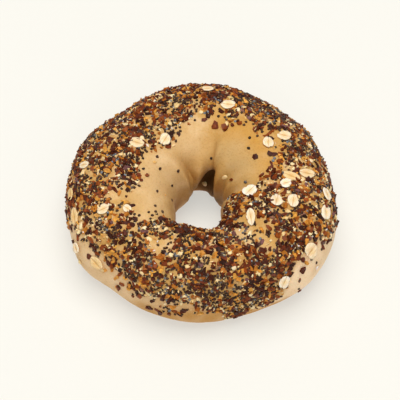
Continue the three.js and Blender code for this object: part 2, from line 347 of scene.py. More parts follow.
# Rolled oats: the flakes that the front shows, then more by an even rule. Lengths in mm, headings from +X.
oats = {
    # Turn, across, length, width, heading, how far toasted from 0 to 1, and degrees propped up towards level.
    "seen": [
        (154, 93, 6.2, 4.6, -10, 0.6, 0), (134, 108, 5.1, 4.4, 60, 0.4, 12), (71, 82, 5.7, 4.6, 5, 0.4, 0),
        (86, 61, 5.0, 4.0, 0, 0.5, 0), (25, 90, 5.2, 4.2, 75, 0.4, 0), (26, 74, 5.2, 4.8, -20, 0.5, 8),
        (336, 119, 5.6, 5.2, 70, 0.0, 25), (334, 90, 6.2, 4.8, 85, 0.3, 0), (338, 78, 5.8, 4.5, 85, 0.4, 8),
        (350, 88, 4.9, 4.2, 0, 0.0, 0), (0, 62, 6.0, 4.4, -10, 0.7, 6), (356, 81, 6.8, 3.8, -40, 0.9, 0),
        (352, 40, 5.6, 4.4, 90, 0.2, 8), (342, 42, 6.4, 4.4, 90, 0.2, 8), (311, 101, 7.6, 3.5, 85, 0.4, 0),
        (323, 35, 6.4, 6.0, 60, 0.5, 14), (307, 21, 5.0, 4.4, 95, 0.2, 24), (219, 16, 6.6, 4.2, 105, 0.9, 16),
        (208, 14, 4.4, 3.4, 95, 0.3, 18), (204, 68, 5.0, 4.0, 20, 0.5, 0), (211, 89, 3.8, 3.0, -30, 0.4, 0),
        (174, 52, 4.8, 3.4, -20, 0.3, 0), (198, 33, 6.6, 4.2, 90, 0.9, 8), (186, 33, 5.0, 3.4, 90, 1.0, 8),
    ],
    "more": 8,  # on the far side
    "farSide": {"from": 25, "to": 155, "highest": 34},  # turns, and the highest place across
    "reach": 3.2,  # kept clear of other flakes
    "length": (4.6, 6.4),
    "width": (3.8, 5.0),
    "thickness": 0.9,
    "lift": 0.45,
    "clearing": (0.30, 0.46),  # of the length: other topping starts past the first and is full at the second
    "shares": (0.8191725, 0.6710436, 0.5497005),  # irrational steps: turn, across and which are kept
}


def spreadFlakes():  # each flake's turn, across, length, width, spin, how far toasted and how far propped up
    flakes = [
        (turn, across, length, width, heading - turn - 90, toasted, propped)
        for turn, across, length, width, heading, toasted, propped in oats["seen"]
    ]
    taken = [(doughPoints(flake[0], flake[1]), flake[2] / 2 * mm) for flake in flakes]
    shareRound, shareAcross, shareKept = oats["shares"]
    farSide = oats["farSide"]
    widest = max(dough["outerRadii"]) * mm
    step = 0
    while len(flakes) < len(oats["seen"]) + oats["more"]:
        step += 1
        turn = farSide["from"] + (step * shareRound % 1) * (farSide["to"] - farSide["from"])
        low = float(ringValue(toppedBand["outerEdge"], turn))
        high = min(float(ringValue(toppedBand["innerEdge"], turn)), farSide["highest"])
        across = low + (high - low) * (step * shareAcross % 1)
        point = doughPoints(turn, across)
        room = math.hypot(point[0], point[1]) / widest
        isClear = all(np.linalg.norm(point - other) > reach + oats["reach"] * mm for other, reach in taken)
        if step * shareKept % 1 < room and isClear:
            taken.append((point, oats["reach"] * mm))
            flakes.append((turn, across, draw.uniform(*oats["length"]), draw.uniform(*oats["width"]),
                           draw.uniform(0, 360), draw.uniform(0, 1), 0))
    return flakes


flakes = spreadFlakes()
underFlakes = np.zeros(len(gridPoints))
for turn, across, length, *_ in flakes:
    gap = np.linalg.norm(gridPoints - doughPoints(turn, across), axis=1) / mm
    covered, clear = (share * length for share in oats["clearing"])
    underFlakes = np.maximum(underFlakes, 1 - smoothStep(covered, clear, gap))

# Where each kind lies thick and where thin, as shares from 0 to 1 at each point of the crust.
crowds = {
    # Clusters that the front shows, where one kind crowds out the others: turn and across.
    "poppy": [
        (234, 102), (241, 135), (219, 53), (226, 66), (232, 36), (243, 54), (262, 38), (253, 27), (260, 66),
        (182, 51), (178, 79), (190, 93), (213, 50), (257, 106), (284, 102), (298, 86), (309, 67), (271, 62),
        (279, 40), (283, 15), (288, 4), (274, 23), (304, 45), (322, 71), (272, 4), (336, 65), (62, 56),
        (45, 71), (35, 76), (19, 55), (17, 78), (29, 36), (89, 70), (138, 94), (121, 103), (106, 74),
        (139, 49), (154, 39), (169, 93), (58, 54), (51, 58), (43, 47), (37, 49), (34, 42), (30, 37),
        (26, 29), (18, 50), (44, 71), (39, 72), (65, 69), (57, 75), (44, 36), (50, 44), (58, 40), (36, 30),
        (22, 40), (239, 76), (241, 84), (16, 78), (181, 72), (205, 77), (239, 72), (306, 66), (290, 355),
    ],
    "onion": [
        (257, 130), (268, 54), (235, 22), (180, 86), (194, 63), (191, 26), (212, 68), (304, 126), (277, 92),
        (290, 81), (334, 58), (345, 74), (314, 44), (294, 21), (286, 62), (298, 31), (56, 84), (46, 82),
        (33, 85), (7, 87), (354, 63), (132, 63), (124, 86), (170, 88), (160, 32), (95, 53), (105, 50),
        (84, 48), (76, 60), (115, 60), (90, 62), (40, 84), (34, 83), (46, 86), (305, 66), (28, 50),
        (234, 64), (322, 68),
    ],
    "pale": [
        (160, 64), (170, 66), (141, 64), (134, 99), (178, 57), (232, 76), (233, 56), (255, 51), (163, 43),
        (264, 42), (263, 13), (254, 15), (265, 19), (10, 70), (355, 74), (345, 66), (2, 84), (352, 55),
        (5, 55), (12, 60), (348, 50), (358, 46), (162, 52), (206, 40), (211, 44), (206, 48), (223, 69),
        (224, 81), (345, 107), (339, 97), (328, 55), (330, 45), (333, 52), (336, 30), (340, 33), (345, 40),
        (10, 13), (166, 54), (171, 62), (5, 28), (2, 34), (346, 42), (207, 42), (213, 45), (328, 50),
        (308, 6), (258, 6),
    ],
    "radius": 3.6,  # mm, of each cluster
    # Patches by chance: size in mm, the noise levels where they start and are full, and a seed.
    "patches": {
        "poppy": (5.2, -0.15, 0.30, 2),
        "onion": (4.6, -0.20, 0.30, 3),
        "pale": (5.0, -0.10, 0.45, 4),
        "gaps": (4.2, 0.20, 0.50, 8),
    },
    # Shares: everywhere, more in the kind's patches, more in its clusters, and less in its rival's clusters.
    "poppyWeights": (0.24, 0.60, 0.8, 0.3),
    "onionWeights": (0.44, 0.50, 0.7, 0.4),
    "crumbWeights": (0.25, 0.6, 0.8, 0.0),
    "paleWeights": (0.25, 0.75, 0.0, 0.0),
    "thinning": (0.92, 0.7, 0.45),  # on bare spots, in gaps and in pale clusters
    "crumbThinning": 0.8,  # on bare spots
}


def shareOf(kind, patches, own, rival):
    everywhere, inPatches, inOwn, inRival = crowds[kind + "Weights"]
    return np.clip(everywhere + inPatches * patches + inOwn * own - inRival * rival, 0, 1)


poppyPatches, onionPatches, palePatches, gaps = (
    smoothStep(starts, full, noiseOver(gridPoints, size, seed))
    for size, starts, full, seed in crowds["patches"].values()
)
poppyCrowds, onionCrowds, paleCrowds = (
    spotWeight(gridPoints, [(*spot, crowds["radius"]) for spot in crowds[name]])
    for name in ("poppy", "onion", "pale")
)
onBare, inGaps, inPale = crowds["thinning"]
room = topped * (1 - onBare * bareness) * (1 - underFlakes) * (1 - inGaps * gaps) * (1 - inPale * paleCrowds)
crumbRoom = topped * (1 - crowds["crumbThinning"] * bareness) * (1 - underFlakes)
crustValues = {
    "poppyShare": room * shareOf("poppy", poppyPatches, poppyCrowds, onionCrowds),
    "onionShare": room * shareOf("onion", onionPatches, onionCrowds, poppyCrowds),
    "crumbShare": crumbRoom * shareOf("crumb", palePatches, paleCrowds, poppyCrowds),
    "paleShare": room * shareOf("pale", palePatches, paleCrowds, poppyCrowds),
}

# Where the bare crust is tinted, again from 0 to 1 at each point.
crustTints = {  # how strong each is, and its spots: turn, across and radius in mm
    "golden": (1.0, [(35, 97, 9), (50, 100, 9), (8, 103, 6), (66, 97, 6), (22, 102, 7)]),
    "floury": (0.6, [(112, 128, 7), (165, 132, 10), (190, 128, 11), (215, 122, 9)]),
    "dusty": (0.85, [(41, 120, 7), (15, 124, 7), (28, 124, 7), (56, 126, 6)]),
    "browned": (0.95, [(247, -18, 7), (256, -14, 9), (265, -8, 9), (274, -14, 9), (286, -22, 8)]),
    # painted shade: the dark hollow under the lobe at the back of the hole
    "deep": (0.9, [(76, 196, 8), (90, 200, 7), (62, 190, 6), (50, 196, 6), (104, 190, 4)]),
    # painted shade: darker low on the hole's walls, and in the creases below
    "fold": (0.7, [(45, 168, 6), (28, 168, 6), (8, 174, 5), (345, 176, 4), (190, 184, 4)]),
}
crustBands = {
    # Patches: the least share, the noise levels where it rises and is full, their size in mm and a seed.
    "goldenPatches": (0.70, -0.4, 0.4, 8.0, 5),
    "palePatches": (0.65, -0.4, 0.3, 12.0, 6),
    "tannedSide": [(211, 6, 13), (219, -2, 13), (227, -6, 13), (235, -6, 13), (241, -8, 10)],  # less pale
    "tannedStrength": 0.55,
    "outside": (20, 50),  # across, up and down from the outer side, over which the pale band ends
    "bottom": (1, 10),  # mm up over which the browned foot ends
    "bottomWander": (3.5, 9.0, 7),  # how far its edge wanders and over what length, in mm, and a seed
    "bottomStrength": 0.75,
    "bakedStrength": 0.22,
    "foldShadeDepth": 7.0,  # mm deep in a crease for the whole painted shade
    "foldShadeMost": 0.8,
}


def patchy(least, starts, full, size, seed):
    return least + (1 - least) * smoothStep(starts, full, noiseOver(gridPoints, size, seed))


for name, (strength, spots) in crustTints.items():
    crustValues[name] = strength * spotWeight(gridPoints, spots)
crustValues["golden"] *= patchy(*crustBands["goldenPatches"])
# Painted shade in the creases: the deeper the crease, the darker, on top of the listed spots.
foldShade = crustValues["fold"] - creaseHeight(turnGrid, acrossGrid) / crustBands["foldShadeDepth"]
crustValues["fold"] = np.clip(foldShade, 0, crustBands["foldShadeMost"])
wanderUp, wanderSize, wanderSeed = crustBands["bottomWander"]
heights = gridPoints[:, 2] / mm + wanderUp * noiseOver(gridPoints, wanderSize, wanderSeed)
lowDown = 1 - smoothStep(*crustBands["bottom"], heights)
near, far = crustBands["outside"]
outside = smoothStep(-far, -near, signedAcross) * (1 - smoothStep(near, far, signedAcross))
paleSides = patchy(*crustBands["palePatches"])
paleSides *= 1 - crustBands["tannedStrength"] * spotWeight(gridPoints, crustBands["tannedSide"])
crustValues["baked"] = crustBands["bakedStrength"] * topped * (1 - bareness) * (1 - paleCrowds)
crustValues["bottom"] = crustBands["bottomStrength"] * lowDown
crustValues["rim"] = outside * (1 - topped) * (1 - lowDown) * paleSides
print("crust tints and topping shares worked out")


# Materials.
crustLook = {
    "base": "#c89d5b", "pale": "#dab683", "shade": "#bd8f4a",
    "tints": {  # laid over each other in this order; the last two are painted shade in creases and hollows
        "baked": "#ad7a38", "rim": "#f8d9b2", "bottom": "#c88c46", "browned": "#ba8436", "golden": "#c28c36",
        "floury": "#dcbb8c", "dusty": "#be9b64", "fold": "#a8732e", "deep": "#4c3014",
    },
    "blotchSize": 9.0,  # mm
    "roughness": (0.52, 0.74),
    "poreSize": 0.7,  # mm
    "poreTint": "#d8c4a8",
    "poreShare": 0.5,
    "poreDepth": 0.12,  # mm
}


def makeBoiledDough():
    # Wheat dough boiled and baked: a thin satin skin, tan with golden and floury patches, and painted shade
    # in its creases and hollows.
    material, tree, surface = newMaterial("boiledBakedDough", {
        "Subsurface Weight": 0.12, "Subsurface Radius": (1.0, 0.6, 0.3), "Subsurface Scale": 0.003,
        "IOR": 1.42, "Specular IOR Level": 0.35,
    })
    place = addNode(tree, "ShaderNodeTexCoord").outputs["Object"]
    blotch = addNode(tree, "ShaderNodeTexNoise", {}, {
        "Vector": place, "Scale": 1 / (crustLook["blotchSize"] * mm), "Detail": 4.0, "Roughness": 0.6,
    }).outputs["Fac"]
    fine = addNode(tree, "ShaderNodeTexNoise", {}, {
        "Vector": place, "Scale": 1 / (crustLook["poreSize"] * mm), "Detail": 3.0, "Roughness": 0.7,
    }).outputs["Fac"]
    colour = addNode(tree, "ShaderNodeValToRGB", {}, {"Fac": blotch}, [
        (0.32, crustLook["pale"]), (0.52, crustLook["base"]), (0.74, crustLook["shade"]),
    ])
    for name, tint in crustLook["tints"].items():
        colour = addNode(tree, "ShaderNodeMix", mix, {
            "Factor": addNode(tree, "ShaderNodeAttribute", {"attribute_name": name}).outputs["Fac"],
            colourA: colour, colourB: linearColour(tint),
        }).outputs[mixed]
    pores = addNode(tree, "ShaderNodeValToRGB", {}, {"Fac": fine}, [
        (0.30, crustLook["poreTint"]), (0.48, "#ffffff"),
    ])
    colour = addNode(tree, "ShaderNodeMix", multiply, {
        "Factor": crustLook["poreShare"], colourA: colour, colourB: pores,
    }).outputs[mixed]
    least, most = crustLook["roughness"]
    gloss = addNode(tree, "ShaderNodeMapRange", {}, {"Value": blotch, "To Min": least, "To Max": most})
    bump = addNode(tree, "ShaderNodeBump", {}, {
        "Height": fine, "Distance": crustLook["poreDepth"] * mm, "Strength": 0.6,
    })
    feed(tree, surface, {"Base Color": colour, "Roughness": gloss, "Normal": bump})
    return material


def makeTopping(look):  # each seed, chip or granule has its own tone, and a faint mottle of its own
    material, tree, surface = newMaterial(look["name"], {
        "Subsurface Weight": look["sinkIn"], "Subsurface Radius": (1.0, 0.5, 0.2),
        "Subsurface Scale": 0.0008, "Roughness": look["roughness"], "Specular IOR Level": look["specular"],
    })
    tone = addNode(tree, "ShaderNodeAttribute", {"attribute_name": "tone"}).outputs["Fac"]
    colour = addNode(tree, "ShaderNodeValToRGB", {}, {"Fac": tone}, look["tones"])
    mottle = addNode(tree, "ShaderNodeTexNoise", {}, {
        "Vector": addNode(tree, "ShaderNodeTexCoord").outputs["Object"],
        "Scale": 1 / (look["fleckSize"] * mm), "Detail": 2.0,
    })
    shade = addNode(tree, "ShaderNodeMapRange", {}, {
        "Value": mottle, "From Min": 0.3, "From Max": 0.7, "To Min": 1 - look["fleckDepth"],
        "To Max": 1 + look["fleckDepth"],
    })
    grey = addNode(tree, "ShaderNodeCombineColor", {}, {"Red": shade, "Green": shade, "Blue": shade})
    mottled = addNode(tree, "ShaderNodeMix", multiply, {"Factor": 1.0, colourA: colour, colourB: grey})
    feed(tree, surface, {"Base Color": mottled.outputs[mixed]})
    return material


# Pieces.
def meshFrom(name, points, faces):
    mesh = bpy.data.meshes.new(name)
    mesh.from_pydata([tuple(p) for p in points], [], [tuple(f) for f in faces])
    mesh.update()
    return mesh


def objectFrom(mesh, name):
    piece = bpy.data.objects.new(name, mesh)
    bpy.context.scene.collection.objects.link(piece)
    return piece


def addAttribute(mesh, name, values):
    mesh.attributes.new(name, "FLOAT", "POINT").data.foreach_set("value", np.asarray(values, np.float32))


def setInputs(modifier, values):  # a modifier's inputs by their names in the tree
    for socket in modifier.node_group.interface.items_tree:
        if socket.item_type == "SOCKET" and socket.in_out == "INPUT" and socket.name in values:
            modifier[socket.identifier] = values[socket.name]


def bakedCopy(piece, name):  # the evaluated shape as a plain mesh
    bpy.context.view_layer.update()
    evaluated = piece.evaluated_get(bpy.context.evaluated_depsgraph_get())
    mesh = bpy.data.meshes.new_from_object(evaluated)
    mesh.name = name
    return mesh


def newTree(name, inputs):  # the inputs' names under their types
    tree = bpy.data.node_groups.new(name, "GeometryNodeTree")
    for kind, names in inputs.items():
        for inputName in names:
            tree.interface.new_socket(inputName, in_out="INPUT", socket_type="NodeSocket" + kind)
    tree.interface.new_socket("Geometry", in_out="OUTPUT", socket_type="NodeSocketGeometry")
    return tree, addNode(tree, "NodeGroupInput").outputs


relief = {
    "Puff Size": 7.0 * mm,
    "Puff Height": 0.5 * mm,
    "Wrinkle Size": 2.2 * mm,
    "Wrinkle Height": 0.22 * mm,
    "Calm Up To": 0.2 * mm,
    "Full From": 4.0 * mm,
}


def reliefTree():  # soft puffs and fine wrinkles along the normals, none on the flat foot
    tree, given = newTree("crustRelief", {
        "Geometry": ["Geometry"],
        "Float": ["Puff Size", "Puff Height", "Wrinkle Size", "Wrinkle Height", "Calm Up To", "Full From"],
        "Material": ["Material"],
    })
    position = addNode(tree, "GeometryNodeInputPosition")
    height = addNode(tree, "ShaderNodeSeparateXYZ", {}, {"Vector": position}).outputs["Z"]
    aboveFoot = addNode(tree, "ShaderNodeMapRange", {"interpolation_type": "SMOOTHSTEP"}, {
        "Value": height, "From Min": given["Calm Up To"], "From Max": given["Full From"],
    })
    total = None
    for name, detail in (("Puff", 1.0), ("Wrinkle", 3.0)):
        scale = addNode(tree, "ShaderNodeMath", {"operation": "DIVIDE"}, {0: 1.0, 1: given[name + " Size"]})
        field = addNode(tree, "ShaderNodeTexNoise", {}, {
            "Vector": position, "Scale": scale, "Detail": detail,
        })
        centred = addNode(tree, "ShaderNodeMath", {"operation": "SUBTRACT"}, {0: field, 1: 0.5})
        high = addNode(tree, "ShaderNodeMath", {"operation": "MULTIPLY"}, {
            0: centred, 1: given[name + " Height"],
        })
        if total is not None:
            high = addNode(tree, "ShaderNodeMath", {"operation": "ADD"}, {0: total, 1: high})
        total = high
    raised = addNode(tree, "ShaderNodeMath", {"operation": "MULTIPLY"}, {0: total, 1: aboveFoot})
    offset = addNode(tree, "ShaderNodeVectorMath", {"operation": "SCALE"}, {
        0: addNode(tree, "GeometryNodeInputNormal"), "Scale": raised,
    })
    moved = addNode(tree, "GeometryNodeSetPosition", {}, {"Geometry": given["Geometry"], "Offset": offset})
    smooth = addNode(tree, "GeometryNodeSetShadeSmooth", {}, {"Geometry": moved})
    real = addNode(tree, "GeometryNodeRealizeInstances", {}, {"Geometry": smooth})
    finished = addNode(tree, "GeometryNodeSetMaterial", {}, {"Geometry": real, "Material": given["Material"]})
    addNode(tree, "NodeGroupOutput", {}, {"Geometry": finished})
    return tree


def makeCrust():
    rounds, sections = dough["roundSteps"], dough["sectionSteps"]
    faces = [
        (i * sections + j, (i + 1) % rounds * sections + j,
         (i + 1) % rounds * sections + (j + 1) % sections, i * sections + (j + 1) % sections)
        for i in range(rounds) for j in range(sections)
    ]
    mesh = meshFrom("bagelCrust", gridPoints, faces)
    for name, values in crustValues.items():
        addAttribute(mesh, name, values)
    piece = objectFrom(mesh, "bagelCrust")
    modifier = piece.modifiers.new("relief", "NODES")
    modifier.node_group = reliefTree()
    setInputs(modifier, {**relief, "Material": makeBoiledDough()})
    finished = bakedCopy(piece, "bagelCrust")
    piece.modifiers.remove(modifier)
    piece.data = finished
    return piece


# The topping. One tree scatters every kind: pieces stand on the dough's normals, turned, leaning and uneven.
def scatterTree():
    tree, given = newTree("scatterOnDough", {
        "Geometry": ["Geometry"],
        "Collection": ["Shapes"],
        "String": ["Share"],
        "Float": ["Closest", "Per Square Metre", "Lowest", "Highest", "Lean", "Warp", "Warp Size"],
        "Int": ["Seed"],
        "Vector": ["Smallest", "Largest"],
        "Bool": ["Smooth"],
        "Material": ["Material"],
    })
    share = addNode(tree, "GeometryNodeInputNamedAttribute", {"data_type": "FLOAT"}, {"Name": given["Share"]})
    points = addNode(tree, "GeometryNodeDistributePointsOnFaces", {"distribute_method": "POISSON"}, {
        "Mesh": given["Geometry"], "Distance Min": given["Closest"],
        "Density Max": given["Per Square Metre"], "Density Factor": share, "Seed": given["Seed"],
    })
    shapes = addNode(tree, "GeometryNodeCollectionInfo", {}, {
        "Collection": given["Shapes"], "Separate Children": True, "Reset Children": True,
    })
    backLean = addNode(tree, "ShaderNodeMath", {"operation": "MULTIPLY"}, {0: given["Lean"], 1: -1.0})
    leastTurn = addNode(tree, "ShaderNodeCombineXYZ", {}, {"X": backLean, "Y": backLean})
    mostTurn = addNode(tree, "ShaderNodeCombineXYZ", {}, {
        "X": given["Lean"], "Y": given["Lean"], "Z": 2 * math.pi,
    })
    # A random value's sockets are numbered: the first of its two limits, then its output. The whole number
    # picks one of the shapes.
    pick, size, turns, lift, tone = (
        addNode(tree, "FunctionNodeRandomValue", {"data_type": kind}, {
            socket: least, socket + 1: most, "Seed": given["Seed"],
        }).outputs[output]
        for kind, socket, output, least, most in (
            ("INT", 4, 2, 0, 1000),
            ("FLOAT_VECTOR", 0, 0, given["Smallest"], given["Largest"]),
            ("FLOAT_VECTOR", 0, 0, leastTurn, mostTurn),
            ("FLOAT", 2, 1, given["Lowest"], given["Highest"]),
            ("FLOAT", 2, 1, 0.0, 1.0),
        )
    )
    turned = addNode(tree, "FunctionNodeEulerToRotation", {}, {"Euler": turns})
    rotated = addNode(tree, "FunctionNodeRotateRotation", {"rotation_space": "LOCAL"}, {
        "Rotation": points.outputs["Rotation"], "Rotate By": turned,
    })
    laid = addNode(tree, "GeometryNodeInstanceOnPoints", {}, {
        "Points": points, "Instance": shapes, "Pick Instance": True, "Instance Index": pick,
        "Rotation": rotated, "Scale": size,
    })
    up = addNode(tree, "ShaderNodeCombineXYZ", {}, {"Z": lift})
    raised = addNode(tree, "GeometryNodeTranslateInstances", {}, {
        "Instances": laid, "Translation": up, "Local Space": True,
    })
    toned = addNode(tree, "GeometryNodeStoreNamedAttribute", {"data_type": "FLOAT", "domain": "INSTANCE"}, {
        "Geometry": raised, "Name": "tone", "Value": tone,
    })
    real = addNode(tree, "GeometryNodeRealizeInstances", {}, {"Geometry": toned})
    scale = addNode(tree, "ShaderNodeMath", {"operation": "DIVIDE"}, {0: 1.0, 1: given["Warp Size"]})
    field = addNode(tree, "ShaderNodeTexNoise", {}, {
        "Vector": addNode(tree, "GeometryNodeInputPosition"), "Scale": scale, "Detail": 1.0,
    })
    centred = addNode(tree, "ShaderNodeVectorMath", {"operation": "SUBTRACT"}, {
        0: field.outputs["Color"], 1: (0.5, 0.5, 0.5),
    })
    pushed = addNode(tree, "ShaderNodeVectorMath", {"operation": "SCALE"}, {
        0: centred, "Scale": given["Warp"],
    })
    uneven = addNode(tree, "GeometryNodeSetPosition", {}, {"Geometry": real, "Offset": pushed})
    shaded = addNode(tree, "GeometryNodeSetShadeSmooth", {}, {
        "Geometry": uneven, "Shade Smooth": given["Smooth"],
    })
    finished = addNode(tree, "GeometryNodeSetMaterial", {}, {
        "Geometry": shaded, "Material": given["Material"],
    })
    addNode(tree, "NodeGroupOutput", {}, {"Geometry": finished})
    return tree


# Shapes to scatter, each one unit long, wide and thick.
def ballMesh(name, kind, bend):  # a ball with closed poles along Z, bent by a function of its points
    segments, rings = kind["segments"], kind["rings"]
    points = [(0, 0, 0.5)]
    for ring in range(1, rings):
        down = math.pi * ring / rings
        for segment in range(segments):
            around = 2 * math.pi * (segment + 0.5 * (ring % 2)) / segments  # every other row half a step on
            points.append((0.5 * math.sin(down) * math.cos(around), 0.5 * math.sin(down) * math.sin(around),
                           0.5 * math.cos(down)))
    points.append((0, 0, -0.5))
    last = len(points) - 1
    faces = [(0, 1 + k, 1 + (k + 1) % segments) for k in range(segments)]
    for ring in range(rings - 2):
        for k in range(segments):
            upper, upperNext = (1 + ring * segments + place for place in (k, (k + 1) % segments))
            lower, lowerNext = upper + segments, upperNext + segments
            if ring % 2 == 0:
                faces += [(upper, lower, lowerNext), (upper, lowerNext, upperNext)]
            else:
                faces += [(upper, lower, upperNext), (upperNext, lower, lowerNext)]
    start = last - segments
    faces += [(start + k, last, start + (k + 1) % segments) for k in range(segments)]
    return meshFrom(name, [bend(*point) for point in points], faces)


def kidney(x, y, z):  # a poppy seed: a ball drawn in on one side, with thinner ends
    return x, y + 0.5 * x * x - 0.06, z * (1 - 0.5 * abs(x))


def drop(x, y, z):  # a sesame seed: narrower and thinner towards one end
    return x, y * (1 - 0.75 * x), z * (1 - 0.3 * x)


chipForm = {
    "jitter": 0.32,  # of the step from corner to corner
    "reach": (0.36, 0.56),  # from the middle to a corner
    "curl": 2.6,
    "twist": 2.0,
}
granuleReach = (0.38, 0.56)


def chipMesh(name, corners):  # a thin uneven plate, curled along its length
    jitter, curliest, mostTwist = chipForm["jitter"], chipForm["curl"], chipForm["twist"]
    turns = [(k + draw.uniform(-jitter, jitter)) / corners * 2 * math.pi for k in range(corners)]
    rim = [
        (draw.uniform(*chipForm["reach"]) * math.cos(turn), draw.uniform(*chipForm["reach"]) * math.sin(turn))
        for turn in turns
    ]
    curl = draw.uniform(-curliest, curliest)
    twist = draw.uniform(-mostTwist, mostTwist)
    flat = rim + [(0.0, 0.0)]
    points = [(x, y, side + curl * x * x + twist * x * y) for side in (0.5, -0.5) for x, y in flat]
    under = corners + 1
    faces = []
    for k in range(corners):
        following = (k + 1) % corners
        faces.append((k, following, corners))
        faces.append((under + following, under + k, under + corners))
        faces.append((under + k, under + following, following, k))
    return meshFrom(name, points, faces)


def granuleMesh(name, corners):  # a broken granule: the hull of a few points
    form = bmesh.new()
    for _ in range(corners):
        direction = Vector(draw.normal(size=3)).normalized()
        form.verts.new(direction * draw.uniform(*granuleReach))
    hull = bmesh.ops.convex_hull(form, input=form.verts)
    spare = {v for v in hull["geom_interior"] + hull["geom_unused"] if isinstance(v, bmesh.types.BMVert)}
    bmesh.ops.delete(form, geom=list(spare), context="VERTS")
    mesh = bpy.data.meshes.new(name)
    form.to_mesh(mesh)
    form.free()
    return mesh


def shapeCollection(name, meshes):
    collection = bpy.data.collections.new(name)
    for mesh in meshes:
        collection.objects.link(bpy.data.objects.new(mesh.name, mesh))
    return collection


def millimetres(*lengths):
    return tuple(length * mm for length in lengths)


# The kinds. Capitalised names are the tree's inputs. Strays are turn, across and for some the tone.
# Flecks are in mm.
poppy = {
    "Share": "poppyShare", "Closest": 0.84 * mm, "Per Square Metre": 3.6e6, "Seed": 4,
    "Smallest": millimetres(1.20, 1.05, 1.00), "Largest": millimetres(1.70, 1.35, 1.20),
    "Lowest": 0.15 * mm, "Highest": 0.95 * mm, "Lean": 0.7,
    "Warp": 0.12 * mm, "Warp Size": 0.5 * mm, "Smooth": True,
    "segments": 8, "rings": 3,
    "strays": [
        (158, 115), (170, 124), (154, 141), (180, 150), (199, 130), (202, 160), (222, 106), (224, 116),
        (226, 129), (69, 142), (352, 130), (29, 106), (218, 120), (226, 108), (316, 20), (314, 10),
        (314, 356), (324, 14), (329, 21), (214, 35), (216, 33), (231, 0), (247, 355), (322, 24),
    ],
    "look": {  # poppy seeds: hard blue-black hulls with a faint net, so small bluish glints
        "name": "poppySeedHull",
        # the palest blue-grey tones: partly the hulls' own slate blue, partly painted glints on whole seeds
        "tones": [(0.0, "#2b1a0e"), (0.5, "#42291a"), (0.88, "#58402c"), (0.94, "#605a56"), (1.0, "#7a828a")],
        "roughness": 0.33, "specular": 0.22, "sinkIn": 0.0, "fleckSize": 0.4, "fleckDepth": 0.25,
    },
}
onion = {
    "Share": "onionShare", "Closest": 1.12 * mm, "Per Square Metre": 2.0e6, "Seed": 7,
    "Smallest": millimetres(1.3, 1.0, 0.50), "Largest": millimetres(4.0, 2.8, 0.95),
    "Lowest": 0.25 * mm, "Highest": 1.35 * mm, "Lean": 0.55,
    "Warp": 0.6 * mm, "Warp Size": 0.9 * mm, "Smooth": False,
    "corners": (5, 6, 7, 5, 6, 7, 5),  # one shape for each
    "strays": [
        (87, 103, 0.4), (75, 108, 0.5), (64, 102, 0.5), (60, 96, 0.4), (17, 108, 0.2), (15, 95, 0.2),
        (14, 92, 0.2), (4, 144), (204, 12, 0.2), (215, 17, 0.4), (231, 358, 0.5), (247, 353, 0.3),
        (252, 350, 0.3), (314, 10, 0.7), (303, 341, 0.4), (316, 22, 0.3), (318, 33, 0.3), (330, 22, 0.5),
        (315, 348, 0.5), (319, 26, 0.92), (100, 70, 0.92), (111, 49, 0.94), (226, 32, 0.9), (230, 13, 0.92),
        (237, 14, 0.88), (66, 78, 0.93), (181, 78, 0.9), (181, 86, 0.3), (181, 40, 0.9), (194, 69, 0.7),
        (76, 109, 0.6), (65, 103, 0.6), (86, 102, 0.5), (229, 8, 0.9), (233, 7, 0.7), (230, 357, 0.88),
        (237, 9, 0.92), (242, 5, 0.7), (246, 352, 0.5), (251, 353, 0.55), (256, 353, 0.5), (223, 10, 0.9),
        (239, 0, 0.6),
    ],
    "look": {  # dried onion, toasted: thin horny flakes, dark brown to amber, a few of them red-skinned
        "name": "toastedDriedOnion",
        "tones": [
            (0.0, "#2a1005"), (0.25, "#461906"), (0.52, "#692b0a"), (0.74, "#8a430f"),
            (0.85, "#b87324"), (0.96, "#d99e44"), (0.975, "#7e5650"), (1.0, "#6c4442"),
        ],
        "roughness": 0.48, "specular": 0.18, "sinkIn": 0.08, "fleckSize": 1.2, "fleckDepth": 0.35,
    },
}
sesame = {
    "Share": "paleShare", "Closest": 2.6 * mm, "Per Square Metre": 0.085e6, "Seed": 12,
    "Smallest": millimetres(2.6, 1.6, 0.75), "Largest": millimetres(3.3, 2.0, 0.95),
    "Lowest": 0.45 * mm, "Highest": 1.3 * mm, "Lean": 0.45,
    "Warp": 0.1 * mm, "Warp Size": 1.0 * mm, "Smooth": True,
    "segments": 8, "rings": 6,
    "strays": [
        (65, 99), (21, 151), (83, 202), (210, 357), (222, 9), (183, 26), (193, 20), (107, 83), (197, 20),
        (199, 27), (202, 33), (204, 37), (342, 22), (346, 20), (337, 18),
    ],
    "look": {  # hulled sesame, lightly toasted: satin ivory
        "name": "hulledSesame",
        "tones": [(0.0, "#dcb878"), (0.4, "#e8ca92"), (1.0, "#f0dbae")],
        "roughness": 0.45, "specular": 0.5, "sinkIn": 0.2, "fleckSize": 0.8, "fleckDepth": 0.08,
    },
}
garlic = {
    "Share": "crumbShare", "Closest": 1.05 * mm, "Per Square Metre": 0.75e6, "Seed": 19,
    "Smallest": millimetres(1.0, 0.8, 0.7), "Largest": millimetres(2.7, 2.0, 1.5),
    "Lowest": 0.2 * mm, "Highest": 1.1 * mm, "Lean": 1.5,
    "Warp": 0.3 * mm, "Warp Size": 0.7 * mm, "Smooth": False,
    "corners": (9, 9, 9, 9, 9),
    "strays": [
        (166, 116), (202, 144), (180, 102), (178, 90), (188, 82), (198, 98), (215, 92), (300, 7, 0.9),
        (297, 351, 0.8), (324, 6, 1.0),
    ],
    "look": {  # dried garlic granules: dry and broken, ivory to toasted amber
        "name": "driedGarlicGranule",
        "tones": [
            (0.0, "#8a4009"), (0.16, "#b06a1c"), (0.32, "#d8a04e"), (0.46, "#e2be80"), (0.94, "#ecd4a4"),
            (1.0, "#e2d6d2"),
        ],
        "roughness": 0.6, "specular": 0.4, "sinkIn": 0.2, "fleckSize": 0.8, "fleckDepth": 0.15,
    },
}


